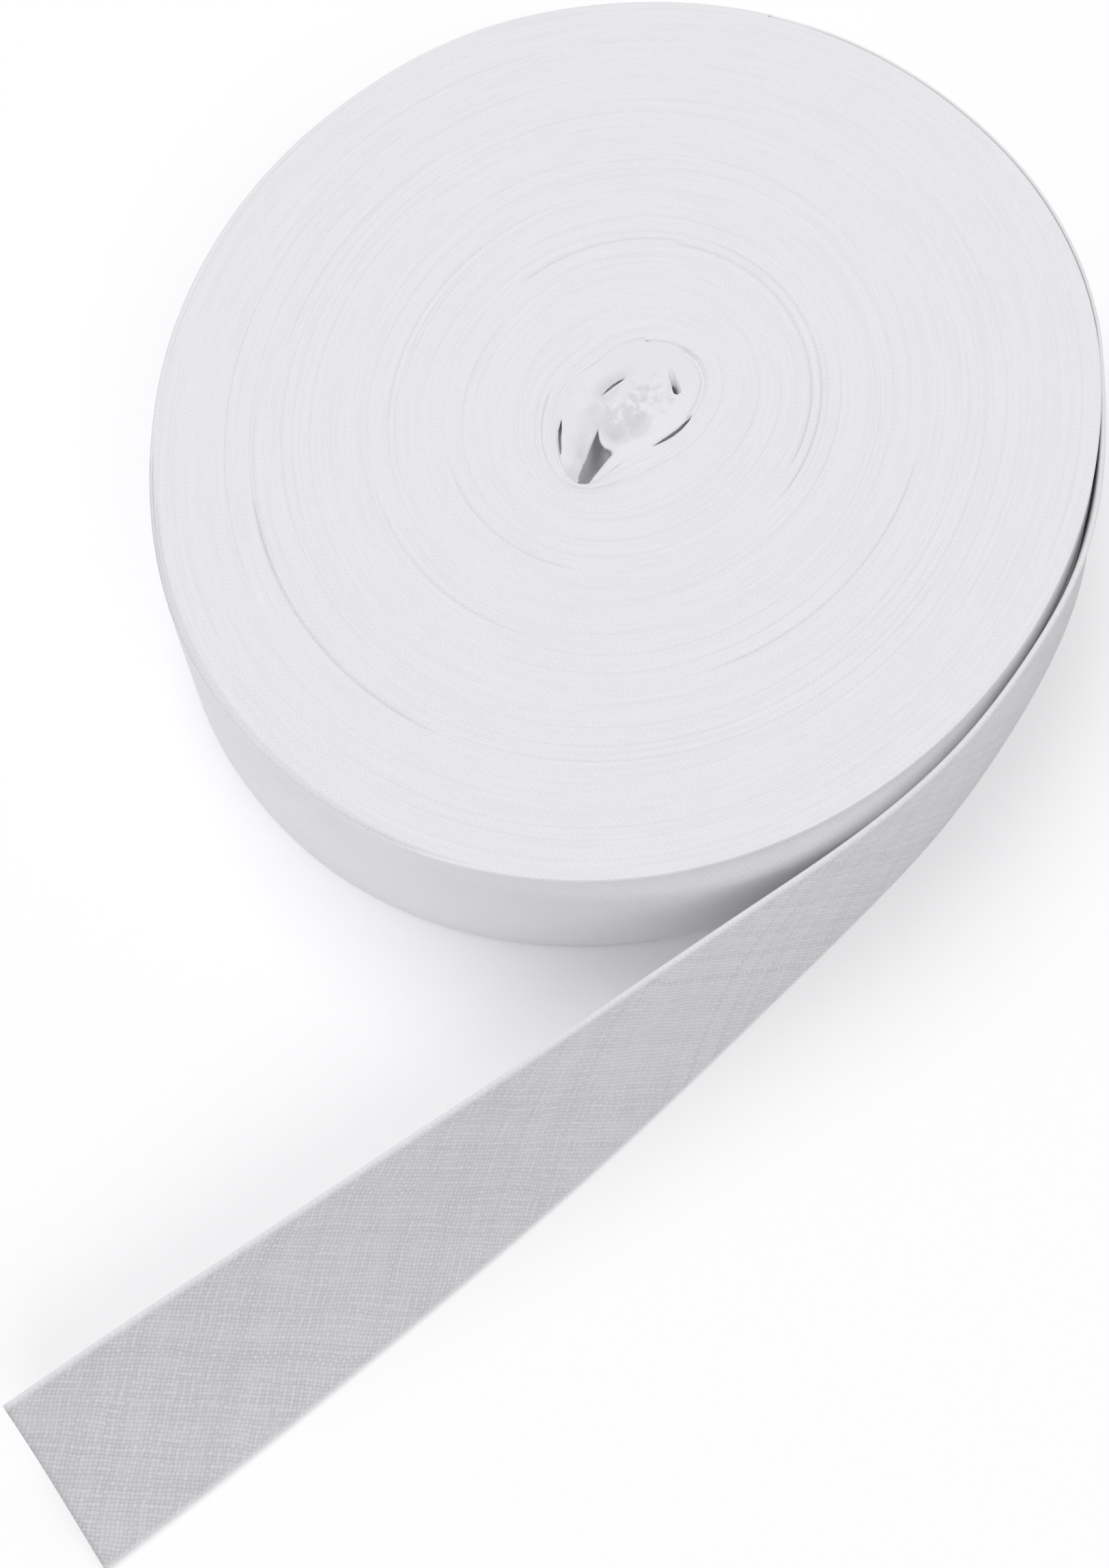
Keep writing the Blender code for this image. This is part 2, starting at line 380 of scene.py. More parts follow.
def build_turns(name, material, top):
    """The tape's folded edges as they show on one face of the roll, and on top also the wall."""
    angle, x, y, along = winding()
    lap = STEPS_PER_TURN
    count = TURNS * lap + 1
    crest = crest_heights(len(angle))
    if top:
        level, side, profile = TURN_LEVEL, 1, PROFILE
        depth = groove_depths(angle)
    else:
        # The underside is level. Its heights are drawn all the same, before the eye's random creases.
        level, side, profile = 0.0, -1, PROFILE[::2]
        crest = np.zeros(len(angle))
        depth = np.full(len(angle), UNDERSIDE_GROOVE)
    inner, outer = slice(0, count), slice(lap, lap + count)
    width = np.hypot(x[outer] - x[inner], y[outer] - y[inner])
    columns, cloth = [], []
    for part, drop in profile:
        px = x[inner] * (1 - part) + x[outer] * part
        py = y[inner] * (1 - part) + y[outer] * part
        own = crest[inner] if part else (crest[inner] + np.roll(crest, lap)[inner]) / 2
        fall = depth[inner] * (1 - part) + depth[outer] * part
        columns.append(np.stack([px, py, level + side * own - side * fall * drop], -1))
        cloth.append(np.stack([along[inner], (part - 0.5) * width], -1))
    points = np.stack(columns, 1).reshape(-1, 3)
    uv = np.stack(cloth, 1).reshape(-1, 2)
    groove_line = np.arange(count) * len(profile)
    crest_line = groove_line + len(profile) - 1
    band = band_faces(count, len(profile))
    # On to the next turn's first points, still with this turn's place on the cloth
    joint = joining_faces(crest_line[:-lap], groove_line[lap:])
    joint_uv = uv[joint]
    joint_uv[:, 2, 0], joint_uv[:, 3, 0] = along[1 : count - lap], along[: count - lap - 1]
    joint_uv[:, 2:, 1] *= -1
    # The last turn's outer half, and on top the wall
    last = np.arange(count - 1 - lap, count)
    edge = last + lap
    lines = edge_lines(crest[last], level, side) + (wall_lines(angle[edge]) if top else [])
    rim, rim_cloth = [], []
    for out, z, across in lines:
        px = x[edge] + np.cos(angle[edge]) * out
        py = y[edge] + np.sin(angle[edge]) * out
        rim.append(np.stack(np.broadcast_arrays(px, py, z), -1))
        rim_cloth.append(np.stack(np.broadcast_arrays(along[last], across), -1))
    rim_line = len(points) + np.arange(len(last)) * len(rim)
    rim_band = len(points) + band_faces(len(last), len(rim))
    faces = np.concatenate([band, joint, joining_faces(crest_line[last], rim_line), rim_band])
    points = np.concatenate([points, np.stack(rim, 1).reshape(-1, 3)])
    uv = np.concatenate([uv, np.stack(rim_cloth, 1).reshape(-1, 2)])[faces]
    uv[len(band) : len(band) + len(joint)] = joint_uv
    if top:
        faces, uv = faces[:, ::-1], uv[:, ::-1]
    return mesh_piece(name, points, faces, uv, material)


# The crumpled inner end in the eye

def nearest_on(points, line):
    """Distance from each point to a line of x and y, and the nearest place on the line."""
    best = np.full(len(points), 1e9)
    nearest = np.zeros((len(points), 2))
    for a, b in zip(line, line[1:]):
        ab = b - a
        t = np.clip(((points - a) @ ab) / (ab @ ab), 0, 1)
        place = a + t[:, None] * ab
        distance = np.hypot(*(points - place).T)
        closer = distance < best
        best = np.where(closer, distance, best)
        nearest[closer] = place[closer]
    return best, nearest


def inside(points, outline):
    """Signed distance to a closed outline of x and y, above 0 inside it, and the nearest place on it."""
    outline = np.asarray(outline, float)
    ring = np.concatenate([outline, outline[:1]])
    best, nearest = nearest_on(points, ring)
    odd = np.zeros(len(points), bool)
    for a, b in zip(ring, ring[1:]):
        crosses = (a[1] > points[:, 1]) != (b[1] > points[:, 1])
        with np.errstate(divide="ignore", invalid="ignore"):
            at = a[0] + (points[:, 1] - a[1]) / (b[1] - a[1]) * (b[0] - a[0])
        odd ^= crosses & (points[:, 0] < at)
    return np.where(odd, best, -best), nearest


# Heights of the crumpled end below the face: x, y, z
EYE_RELIEF = (
    # the sheet that leaves the face at the upper left, and its tongue beside the wedge
    (-2.2, 2.4, -0.12), (-1.0, 3.2, -0.10), (0.3, 3.8, -0.10), (-0.9, 2.2, -0.26), (-2.0, 1.2, -0.30),
    (-3.2, 0.0, -0.34), (-3.9, -1.6, -0.55), (-4.6, 0.6, -0.10), (-5.9, -1.6, -0.12), (-5.4, -3.6, -0.28),
    (-6.5, -4.4, -0.20), (-4.5, -3.6, -0.60), (-3.6, -3.6, -1.15), (-6.1, -6.6, -0.35), (-5.0, -6.4, -0.75),
    (-4.0, -6.2, -1.55), (-5.9, -8.8, -0.60), (-5.1, -8.8, -1.05), (-4.4, -8.8, -1.80), (-5.7, -10.6, -0.80),
    (-5.1, -11.4, -1.50), (-4.9, -13.0, -1.8),
    # under the fold's edge, and the shaded valley down to the wedge
    (0.7, 2.0, -0.70), (-0.4, 1.3, -1.15), (-1.4, 0.4, -1.45), (-2.3, -0.8, -1.65), (-2.0, -2.6, -2.1),
    (-2.9, -4.4, -2.1), (-1.6, -5.0, -3.5), (-0.7, -3.6, -5.0), (-0.1, -5.4, -3.6), (-0.8, -1.4, -2.6),
    (0.6, -4.0, -4.8),
    # the crumpled middle
    (0.8, -0.2, -0.90), (0.7, -2.2, -2.7), (1.5, -1.2, -0.72), (2.7, -0.8, -0.62), (2.4, -2.6, -0.80),
    (3.8, -2.0, -0.60), (3.9, 0.4, -0.50), (1.9, 1.4, -0.42), (3.4, 2.4, -0.34), (1.6, -4.4, -3.2),
    (2.8, -4.4, -0.70), (4.1, -3.4, -0.42),
    # the loop and the band that comes down from it to the wedge
    (5.0, 3.8, -0.25), (2.8, 4.6, -0.18), (0.8, 4.8, -0.10), (6.8, 2.4, -0.20), (7.4, 0.2, -0.16),
    (6.7, -1.6, -0.20), (6.9, 4.0, -0.16), (-3.1, -12.7, -0.06), (-1.5, -10.2, -0.05), (0.3, -8.2, -0.05),
    (2.2, -7.0, -0.05), (4.2, -5.8, -0.06), (5.8, -4.2, -0.10), (6.9, -2.9, -0.12), (-0.5, -8.0, -0.30),
    (1.1, -6.9, -0.25), (3.0, -5.8, -0.25), (2.7, -7.7, -0.04), (1.2, -8.5, -0.03), (-0.4, -9.8, -0.03),
    (-2.2, -11.9, -0.04),
)
# Outlines of the gaps between the folds
EYE_GAPS = (
    # the wedge
    (
        (-4.35, -13.9), (-3.6, -12.8), (-2.5, -10.9), (-1.2, -8.9), (-1.5, -7.9), (-2.2, -6.9), (-2.6, -6.0),
        (-2.9, -4.4), (-3.4, -6.2), (-4.1, -9.0), (-4.9, -12.0),
    ),
    # the slit left of the tongue
    (
        (-7.15, -4.8), (-7.4, -6.4), (-7.35, -7.8), (-7.0, -9.6), (-6.95, -8.6), (-7.05, -7.4),
        (-7.05, -6.0),
    ),
    # the crescent below the loop
    (
        (3.3, -7.75), (4.4, -7.10), (5.5, -6.30), (6.4, -5.35), (7.1, -4.25), (7.55, -3.1), (6.9, -4.05),
        (6.15, -5.05), (5.25, -5.95), (4.3, -6.80),
    ),
    # the lower end of the slot
    ((5.15, 1.70), (5.42, 1.10), (5.68, 0.40), (5.78, 0.02), (5.93, 0.05), (5.90, 0.45), (5.62, 1.18)),
    # under the fold's edge
    (
        (-0.2, 1.85), (-0.9, 1.45), (-1.6, 0.90), (-2.2, 0.25), (-2.7, -0.5), (-2.12, 0.12), (-1.47, 0.76),
        (-0.8, 1.34),
    ),
)
# The sheet bends down by this much, over this distance, towards a gap
GAP_EDGE = (0.15, 0.3)
# Points this near to a gap's outline move onto it
SNAP_REACH = 0.09
# The slot inside the loop: x and y along it, half of its width, depth at both ends
SLOT = ((4.95, 3.1), (5.2, 1.9), (5.8, 0.1))
SLOT_HALF = 0.46
SLOT_DEPTHS = (0.0, 2.4)
# The groove along the loop's outline: first and last angle in degrees, depth, width
LOOP_GROOVES = ((-22, 38, 0.42, 0.50), (38, 92, 0.15, 0.35))
# Small creases: middle x and y, reach of the area, how many, and their size and height
CREASES = (
    (2.2, -1.4, 2.8, 90, 0.30, 0.42),
    (-0.4, -2.0, 2.0, 30, 0.34, 0.48),
    (-4.4, -1.5, 3.0, 14, 0.6, 0.12),
)
# Points round and out, thickness, and how far the sheet reaches under the first turn, with its slope
EYE_GRID = (380, 114)
EYE_THICKNESS = 0.3
EYE_TUCK = 0.2
TUCK_SLOPE = 0.3
# The sheet comes up to the first turn over this distance, and over this much more between these
# angles in degrees, where the face runs on into the tongue
RISE_OVER = (0.25, 1.2)
GENTLE_ARC = (95, 175)
# The first ring, as a share of the last, and the share of a turn over which the lip steps back
FIRST_RING = 0.0015
LIP_STEP = 0.02
# The next layer of the crumpled end, this far below it, and below it in the wedge
LOWER_GRID = (200, 50)
LOWER_LAYER = 1.1
WEDGE_DEPTH = 3.5
WEDGE_BETWEEN = (-0.8, 0.6)
LOWER_TUCK = 0.4
LOWER_RISE = 0.5
# The lower end of the eye's inner face
EYE_FOOT = 0.1


def relief_weights():
    """Thin-plate spline through the heights of EYE_RELIEF."""
    rows = np.array(EYE_RELIEF)
    count = len(rows)
    system = np.zeros((count + 3, count + 3))
    system[:count, :count] = bend_of(np.hypot(*(rows[:, None, :2] - rows[None, :, :2]).transpose(2, 0, 1)))
    system[:count, count:] = np.column_stack([np.ones(count), rows[:, :2]])
    system[count:, :count] = system[:count, count:].T
    return rows[:, :2], np.linalg.solve(system, np.concatenate([rows[:, 2], np.zeros(3)]))


def bend_of(distance):
    return distance**2 * np.log(np.maximum(distance, 1e-6))


def eye_height(points):
    """Height of the crumpled end below the face of the roll."""
    places, weights = relief_weights()
    z = weights[-3] + points @ weights[-2:]
    for place, weight in zip(places, weights):
        z += weight * bend_of(np.hypot(*(points - place).T))
    for x, y, reach, count, size, height in CREASES:
        middles = RNG.normal((x, y), reach / 2, (count, 2))
        turns = RNG.uniform(0, math.pi, count)
        heights = RNG.uniform(-height, height, count)
        for middle, turn, rise in zip(middles, turns, heights):
            c, s = math.cos(turn), math.sin(turn)
            across, along = ((points - middle) @ np.array([[c, -s], [s, c]])).T
            z += rise * np.exp(-((across / size) ** 2) - (along / size / 2) ** 2)
    drop, reach = GAP_EDGE
    for outline in EYE_GAPS:
        z -= drop * ramp(inside(points, outline)[0], -reach, 0.0)
    line = np.array(SLOT)
    distance, nearest = nearest_on(points, line)
    along = np.hypot(*(nearest - line[0]).T) / np.hypot(*(line[-1] - line[0]))
    depth = SLOT_DEPTHS[0] + (SLOT_DEPTHS[1] - SLOT_DEPTHS[0]) * along
    return z - depth * (1 - ramp(distance, 0.0, SLOT_HALF))


def eye_grid(columns, rows, tuck):
    """Rings of x and y from the origin out to this far under the first turn.

    Also each point's distance to the first turn, and the angles of a ring.
    """
    angle = np.linspace(-math.pi, math.pi, columns, endpoint=False)
    # The first turn starts on the lip, and has moved out by its own thickness once round
    lap = (TAPE_PARTS_AT - angle) % math.tau / math.tau
    lap = np.maximum(lap, 1 - lap / LIP_STEP)
    lip = turn_radius(angle, lap / (TURNS + 1))
    radius = np.linspace(FIRST_RING, 1.0, rows)[:, None] * (lip + tuck)[None, :]
    points = np.stack([radius * np.cos(angle), radius * np.sin(angle)], -1).reshape(-1, 2)
    return points, lip[None, :] - radius, angle


def build_eye(name, material):
    """The crumpled inner end: a sheet out to under the first turn, open at the gaps."""
    columns, rows = EYE_GRID
    points, to_lip, angle = eye_grid(columns, rows, EYE_TUCK)
    open_here = np.zeros(len(points), bool)
    for outline in EYE_GAPS:
        depth, nearest = inside(points, outline)
        snap = np.abs(depth) < SNAP_REACH
        points[snap] = nearest[snap]
        open_here |= depth > -SNAP_REACH
    z = eye_height(points).reshape(rows, columns)
    least, more = RISE_OVER
    z *= ramp(to_lip, 0.0, least + more * arc_strength(angle, *GENTLE_ARC)[None, :])
    for first, last, depth, width in LOOP_GROOVES:
        z -= depth * arc_strength(angle, first, last)[None, :] * np.exp(-3 * (to_lip / width - 1) ** 2)
    z = np.where(to_lip < 0, z + TUCK_SLOPE * to_lip, z)
    points = np.column_stack([points, z.ravel() + TURN_LEVEL])
    faces = ring_faces(rows, columns)
    faces = faces[~open_here[faces].all(axis=1)]
    obj = mesh_piece(name, points, faces, points[:, :2], material)
    thicken(obj, EYE_THICKNESS, -1)
    return obj


def build_lower_layer(name, material):
    """The next layer of the crumpled end, seen through the gaps."""
    columns, rows = LOWER_GRID
    points, to_lip = eye_grid(columns, rows, LOWER_TUCK)[:2]
    into_wedge = ramp(inside(points, EYE_GAPS[0])[0], *WEDGE_BETWEEN)
    z = eye_height(points) - LOWER_LAYER - WEDGE_DEPTH * into_wedge
    z += LOWER_RISE * ramp(-to_lip.ravel(), 0.0, LOWER_TUCK)
    points = np.column_stack([points, z + TURN_LEVEL])
    # The first turn's inner face, from under the layer's edge down to the roll's underside
    edge = points[-columns:, :2]
    foot = np.column_stack([edge, np.full(columns, EYE_FOOT)])
    foot_cloth = edge * (1 + TAPE_WIDTH / np.hypot(*edge.T))[:, None]
    uv = np.concatenate([points[:, :2], foot_cloth])
    points = np.concatenate([points, foot])
    return mesh_piece(name, points, ring_faces(rows + 1, columns), uv, material)


# The loose end

def spline(rows, spacing):
    """Points evenly spread along the natural cubic spline through these rows."""
    rows = np.asarray(rows, float)
    place = np.concatenate([[0], np.cumsum(np.hypot(*np.diff(rows[:, :2], axis=0).T))])
    gap = np.diff(place)
    count = len(rows)
    matrix = np.eye(count)
    right = np.zeros_like(rows)
    for i in range(1, count - 1):
        matrix[i, i - 1 : i + 2] = gap[i - 1], 2 * (gap[i - 1] + gap[i]), gap[i]
        right[i] = 6 * ((rows[i + 1] - rows[i]) / gap[i] - (rows[i] - rows[i - 1]) / gap[i - 1])
    bend = np.linalg.solve(matrix, right)
    at = np.linspace(0, place[-1], int(place[-1] / spacing) + 1)
    i = np.clip(np.searchsorted(place, at) - 1, 0, count - 2)
    h = gap[i][:, None]
    b = (at - place[i])[:, None] / h
    a = 1 - b
    curved = ((a**3 - a) * bend[i] + (b**3 - b) * bend[i + 1]) * h * h / 6
    return a * rows[i] + b * rows[i + 1] + curved, at


def tape_section(layer_gap):
    """Across the folded tape, from one raw edge to the other.

    Each point has its height up the face, its depth behind it, and its place on the cloth.
    """
    depth_out = CLOTH / 2
    depth_in = depth_out + CLOTH + layer_gap
    radius = (depth_in - depth_out) / 2
    middle = (depth_in + depth_out) / 2
    flap = np.linspace(TAPE_WIDTH / 2 - RAW_EDGE_GAP / 2, radius + depth_out, FLAP_POINTS)
    turn = np.linspace(0, math.pi, FOLD_POINTS)[1:-1]
    face = np.linspace(radius + depth_out, TAPE_WIDTH - radius - depth_out, FACE_POINTS)
    up, depth = list(flap), [depth_in] * len(flap)
    up += list(radius + depth_out - radius * np.sin(turn))
    depth += list(middle + radius * np.cos(turn))
    up += list(face)
    depth += [depth_out] * len(face)
    up += list(TAPE_WIDTH - radius - depth_out + radius * np.sin(turn))
    depth += list(middle - radius * np.cos(turn))
    up += list(TAPE_WIDTH - flap[::-1])
    depth += [depth_in] * len(flap)
    up, depth = np.array(up), np.array(depth)
    across = np.concatenate([[0], np.cumsum(np.hypot(np.diff(up), np.diff(depth)))])
    return up, depth, across - across[-1] / 2


def build_loose_end(name, material):
    """The tape from where it parts from the last turn, over the part that lies on it, to the cut."""
    rows = []
    for degrees in LYING_ON_ROLL:
        angle = math.radians(degrees)
        share = 1 + (TAPE_PARTS_AT - angle) / math.tau / (TURNS + 1)
        radius = float(turn_radius(angle, share))
        rows.append((radius * math.cos(angle), radius * math.sin(angle), math.pi / 2))
    rows += [(x, y, math.radians(lean)) for x, y, lean in LOOSE_END]
    path, place = spline(rows, TAPE_STEP)
    ahead = np.gradient(path[:, :2], axis=0)
    ahead /= np.hypot(*ahead.T)[:, None]
    inward = np.stack([ahead[:, 1], -ahead[:, 0]], -1)
    opening = ramp(place, *OPENS_BETWEEN)[:, None]
    up, depth, across = tape_section(LAYER_GAPS[0])
    loose_up, loose_depth = tape_section(LAYER_GAPS[1])[:2]
    up = up * (1 - opening) + loose_up * opening
    depth = depth * (1 - opening) + loose_depth * opening
    # Points across the tape that stands on its lower edge: towards the roll, and up
    lean = path[:, 2]
    face_x = np.cos(lean)[:, None] * up + np.sin(lean)[:, None] * depth
    face_z = np.sin(lean)[:, None] * up - np.cos(lean)[:, None] * depth
    cupping = CUP_OPEN * opening + CUP_FURTHER * ramp(place, *CUPS_BETWEEN)[:, None]
    wave = RIPPLE * opening * np.sin(place / RIPPLE_SPACING + RIPPLE_PHASE)[:, None]
    hollow = cupping * np.sin(up / TAPE_WIDTH * math.pi) + wave * np.sin(up / TAPE_WIDTH * math.tau)
    face_x = face_x + np.sin(lean)[:, None] * hollow
    face_z = face_z - np.cos(lean)[:, None] * hollow
    face_z += (CLOTH / 2 + LIFT - face_z.min(axis=1))[:, None]
    skew = np.tan(CUT_SKEW) * up * ramp(place, place[-1] - CUT_SKEW_FOR, place[-1])[:, None]
    x = path[:, :1] + inward[:, :1] * face_x - ahead[:, :1] * skew
    y = path[:, 1:2] + inward[:, 1:2] * face_x - ahead[:, 1:2] * skew
    points = np.stack([x, y, face_z], -1)
    uv = np.stack(np.broadcast_arrays(LOOSE_START + place[:, None] - skew, across[None, :]), -1)
    faces = grid_faces(*up.shape)
    obj = mesh_piece(name, points.reshape(-1, 3), faces, uv.reshape(-1, 2), material)
    thicken(obj, CLOTH, 0).use_even_offset = True
    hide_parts("loose_end")
    return obj


# Materials

# How the threads stray from straight lines: scale of the noise, and reach
STRAYS = ((700.0, 0.22), (160.0, 0.9))
# How far along a thread its thickness changes, against across it
SLUB_STRETCH = 0.12
# Where the threads are pressed smooth: along a fold, and on the tape that still lies on the roll
FOLD_SMOOTH = 0.8
PRESSED_SMOOTH = 0.75
# Painted light: how much lighter the pressed tape and the two flaps are painted, for light that real cloth
# lets through
PRESSED_PAINTED_LIGHT = 0.1
FLAP_PAINTED_LIGHT = 0.18


class Nodes:
    """Short calls that add nodes to one material."""

    def __init__(self, material):
        self.tree = material.node_tree

    def add(self, kind, inputs=(), output=0, **settings):
        node = self.tree.nodes.new(kind)
        for key, value in settings.items():
            setattr(node, key, value)
        for key, value in dict(inputs).items():
            if isinstance(value, bpy.types.NodeSocket):
                self.tree.links.new(value, node.inputs[key])
            else:
                node.inputs[key].default_value = value
        return node.outputs[output]

    def math(self, operation, first, second=0.0):
        return self.add("ShaderNodeMath", {0: first, 1: second}, operation=operation)

    def rest(self, share):
        return self.math("SUBTRACT", 1.0, share)

    def split(self, vector):
        """The x and y of a place."""
        x = self.add("ShaderNodeSeparateXYZ", {0: vector})
        return x, x.node.outputs[1]

    def blend(self, share, first, second):
        change = self.math("SUBTRACT", second, first)
        return self.math("ADD", first, self.math("MULTIPLY", share, change))

    def stray(self, place, scale, reach):
        """A place moved about by noise of this scale, up to about half of this reach."""
        noise = self.add("ShaderNodeTexNoise", {"Vector": place, "Scale": scale, "Detail": 1.0}, output=1)
        noise = self.add("ShaderNodeVectorMath", {0: noise, 1: (0.5, 0.5, 0.5)}, operation="SUBTRACT")
        noise = self.add("ShaderNodeVectorMath", {0: noise, "Scale": reach}, operation="SCALE")
        return self.add("ShaderNodeVectorMath", {0: place, 1: noise}, operation="ADD")

    def arch(self, across):
        """The round back of each thread, from 0 up to 1 and down again."""
        return self.math("SINE", self.math("MULTIPLY", self.math("FRACT", across), math.pi))

    def crossing(self, thread, other):
        """A thread's height, which dips between the threads that it crosses."""
        return self.math("MULTIPLY", thread, self.math("ADD", self.math("MULTIPLY", other, 0.45), 0.55))

    def thread_noise(self, place, across, squeeze):
        """From 0 to 1: partly from thread to thread, and more of it slowly along each thread."""
        thread = self.add("ShaderNodeTexWhiteNoise", {"W": self.math("FLOOR", across)}, noise_dimensions="1D")
        place = self.add("ShaderNodeMapping", {"Vector": place, "Scale": squeeze})
        slub = self.add("ShaderNodeTexNoise", {"Vector": place, "Scale": 1.3, "Detail": 1.0})
        return self.math("ADD", self.math("MULTIPLY", thread, 0.4), self.math("MULTIPLY", slub, 0.6))


def loose_areas(n, cloth):
    """From 0 to 1: near a fold, on the two flaps, and where the tape still lies on the roll."""
    along, across = n.split(cloth)
    across = n.math("ABSOLUTE", across)
    off = n.math("ABSOLUTE", n.math("SUBTRACT", across, TAPE_WIDTH / 2 * MM))
    near_fold = n.math("MAXIMUM", n.rest(n.math("DIVIDE", off, FOLD_REACH * MM)), 0.0)
    flap = n.math("GREATER_THAN", across, (TAPE_WIDTH / 2 + FOLD_REACH) * MM)
    ends = {"From Min": (LOOSE_START + PRESSED_FOR) * MM, "From Max": LOOSE_START * MM}
    pressed = n.add("ShaderNodeMapRange", {"Value": along, **ends})
    return near_fold, flap, pressed


def cotton(name, tint, thread_depth, contrast, unevenness, patches, painted_fold_highlight=0.0):
    """White plain-weave cotton, its threads at 45 degrees to the tape's length."""
    material = bpy.data.materials.new(name)
    material.use_nodes = True
    n = Nodes(material)
    shader = material.node_tree.nodes["Principled BSDF"]
    cloth = n.add("ShaderNodeUVMap", uv_map="cloth")
    place = cloth
    for scale, reach in STRAYS:
        place = n.stray(place, scale, reach * MM)
    turned = {"Rotation": (0, 0, math.radians(45)), "Scale": (1 / (THREAD_PITCH * MM),) * 3}
    place = n.add("ShaderNodeMapping", {"Vector": place, **turned})
    across, along = n.split(place)
    # Each thread is an arch that dips under every other thread that it crosses
    arch_a, arch_b = n.arch(across), n.arch(along)
    cell = n.math("ADD", n.math("FLOOR", across), n.math("FLOOR", along))
    over = n.math("FLOORED_MODULO", cell, 2.0)
    weave = n.blend(over, n.crossing(arch_a, arch_b), n.crossing(arch_b, arch_a))
    # Threads differ in thickness, each from the next and along its length
    slub_a = n.thread_noise(place, across, (1.0, SLUB_STRETCH, 1.0))
    slub_b = n.thread_noise(place, along, (SLUB_STRETCH, 1.0, 1.0))
    slub = n.blend(over, slub_a, slub_b)
    near_fold = flap = pressed = 0.0
    show = 1.0
    if painted_fold_highlight:
        near_fold, flap, pressed = loose_areas(n, cloth)
        show = n.rest(n.math("MULTIPLY", near_fold, FOLD_SMOOTH))
        show = n.math("MULTIPLY", show, n.rest(n.math("MULTIPLY", pressed, PRESSED_SMOOTH)))
    fuzz = n.add("ShaderNodeTexNoise", {"Vector": cloth, "Scale": 9000.0, "Detail": 3.0})
    height = n.math("ADD", weave, n.math("MULTIPLY", slub, unevenness))
    height = n.math("ADD", height, n.math("MULTIPLY", fuzz, 0.25))
    height = n.math("MULTIPLY", height, show)
    normal = n.add("ShaderNodeBump", {"Strength": 0.8, "Distance": thread_depth * MM, "Height": height})
    # Painted shade in the hollows between threads, stronger in some places than in others, and thinner
    # stretches of thread darker
    patch = n.add("ShaderNodeTexNoise", {"Vector": cloth, "Scale": 60.0, "Detail": 3.0})
    hollow_shade_noise = n.add("ShaderNodeTexNoise", {"Vector": cloth, "Scale": 420.0, "Detail": 2.0})
    shade = n.math("MULTIPLY", n.rest(weave), n.math("ADD", hollow_shade_noise, 0.5))
    shade = n.math("ADD", shade, n.math("MULTIPLY", n.rest(slub), unevenness))
    light = n.rest(n.math("MULTIPLY", n.math("MULTIPLY", shade, show), contrast))
    light = n.math("MULTIPLY", light, n.math("ADD", n.math("MULTIPLY", patch, patches), 1 - patches / 2))
    # Painted light: a painted highlight along the folded edges, and the pressed tape and the flaps painted
    # lighter, for light that real cloth lets through
    for area, more in ((near_fold, painted_fold_highlight), (pressed, PRESSED_PAINTED_LIGHT), (flap, FLAP_PAINTED_LIGHT)):
        light = n.math("MULTIPLY", light, n.math("ADD", n.math("MULTIPLY", area, more), 1.0))
    colour = n.add("ShaderNodeVectorMath", {0: tint, "Scale": light}, operation="SCALE")
    rough = n.math("ADD", n.math("MULTIPLY", patch, 0.08), 0.84)
    for socket, value in (("Base Color", colour), ("Normal", normal), ("Roughness", rough)):
        n.tree.links.new(value, shader.inputs[socket])
    shader.inputs["Specular IOR Level"].default_value = 0.25
    shader.inputs["Sheen Weight"].default_value = 0.12
    shader.inputs["Sheen Roughness"].default_value = 0.5
    return material


# The stage, the camera and the lights

CAMERA_ELEVATION = math.radians(65.98)
CAMERA_ROLL = math.radians(3.54)
CAMERA_DISTANCE = 219.79
CAMERA_ASIDE = (-7.70, -37.00)
LENS_PIXELS = 2600
PHOTO_HEIGHT = 2296
SENSOR = 36.0
# The floor lies just under the tape. Its size and level, and the lights, are in metres and watts.
FLOOR_HALF = 3.0
FLOOR_LEVEL = -5e-5
LIGHT_TARGET = (0, -0.03, 0)
LIGHT_SIZE = 2.0


def build_camera():
    """The photo's camera: its axes, then its place as steps along them."""
    back = Vector((0, -math.cos(CAMERA_ELEVATION), math.sin(CAMERA_ELEVATION)))
    level = Vector((1, 0, 0))
    rise = back.cross(level)
    right = level * math.cos(CAMERA_ROLL) + rise * math.sin(CAMERA_ROLL)
    up = rise * math.cos(CAMERA_ROLL) - level * math.sin(CAMERA_ROLL)
    place = right * CAMERA_ASIDE[0] + up * CAMERA_ASIDE[1] + back * CAMERA_DISTANCE
    data = bpy.data.cameras.new("camera")
    data.sensor_fit = "VERTICAL"
    data.sensor_height = SENSOR
    data.lens = LENS_PIXELS * SENSOR / PHOTO_HEIGHT
    data.clip_start = 0.01
    camera = bpy.data.objects.new("camera", data)
    turn = Matrix((right, up, back)).transposed().to_4x4()
    camera.matrix_world = Matrix.Translation(place * MM) @ turn
    bpy.context.scene.collection.objects.link(camera)
    bpy.context.scene.camera = camera


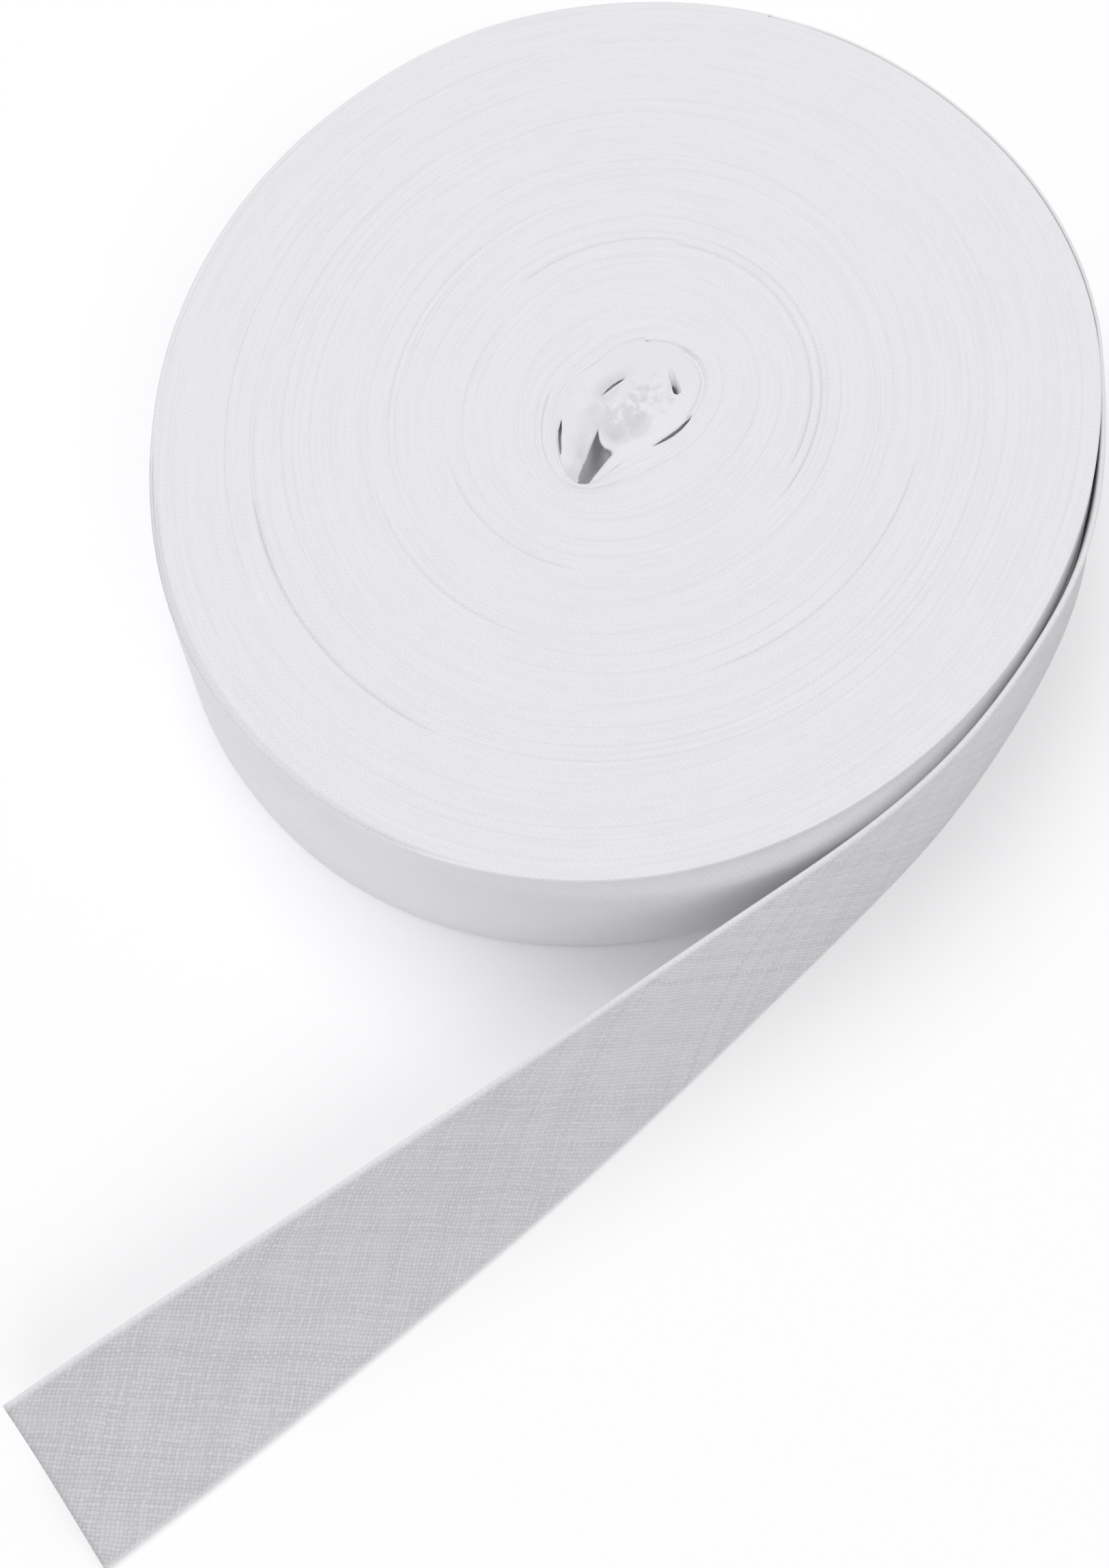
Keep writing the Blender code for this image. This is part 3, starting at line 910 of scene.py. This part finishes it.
def area_light(name, place, power):
    data = bpy.data.lights.new(name, "AREA")
    data.shape = "DISK"
    data.size = LIGHT_SIZE
    data.energy = power
    light = bpy.data.objects.new(name, data)
    light.location = place
    light.rotation_euler = (Vector(place) - Vector(LIGHT_TARGET)).to_track_quat("Z", "Y").to_euler()
    bpy.context.scene.collection.objects.link(light)


def build_stage():
    mesh = bpy.data.meshes.new("floor")
    corners = ((-1, -1), (1, -1), (1, 1), (-1, 1))
    mesh.from_pydata([(x * FLOOR_HALF, y * FLOOR_HALF, FLOOR_LEVEL) for x, y in corners], [], [(0, 1, 2, 3)])
    floor = bpy.data.objects.new("floor", mesh)
    material = bpy.data.materials.new("pale_floor")
    material.use_nodes = True
    shader = material.node_tree.nodes["Principled BSDF"]
    shader.inputs["Base Color"].default_value = (0.955, 0.955, 0.96, 1)
    # A white table that is lit a little from below
    shader.inputs["Emission Color"].default_value = (1, 1, 1, 1)
    shader.inputs["Emission Strength"].default_value = 0.09
    shader.inputs["Roughness"].default_value = 0.9
    mesh.materials.append(material)
    bpy.context.scene.collection.objects.link(floor)
    world = bpy.data.worlds.new("studio")
    world.use_nodes = True
    background = world.node_tree.nodes["Background"]
    background.inputs["Color"].default_value = (0.985, 0.99, 1.0, 1)
    background.inputs["Strength"].default_value = 0.60
    bpy.context.scene.world = world
    area_light("key", (-0.8, 0.9, 2.2), 20.2)
    area_light("fill", (1.0, -1.5, 2.0), 11.4)
    bpy.context.scene.view_settings.view_transform = "Standard"


def main():
    wound = cotton(
        "wound_cotton_weave",
        tint=(0.885, 0.885, 0.90),
        thread_depth=0.013,
        contrast=0.04,
        unevenness=1.0,
        patches=0.12,
    )
    loose = cotton(
        "loose_cotton_weave",
        tint=(0.805, 0.805, 0.815),
        thread_depth=0.022,
        contrast=0.165,
        unevenness=1.5,
        patches=0.06,
        # A painted highlight along the folds
        painted_fold_highlight=0.065,
    )
    build_camera()
    build_stage()
    top = build_turns("wound_tape", wound, top=True)
    build_turns("wound_tape_underside", wound, top=False)
    build_eye("inner_end", wound)
    build_lower_layer("inner_end_lower_layer", wound)
    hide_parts("roll")
    build_loose_end("loose_tape", loose)


main()
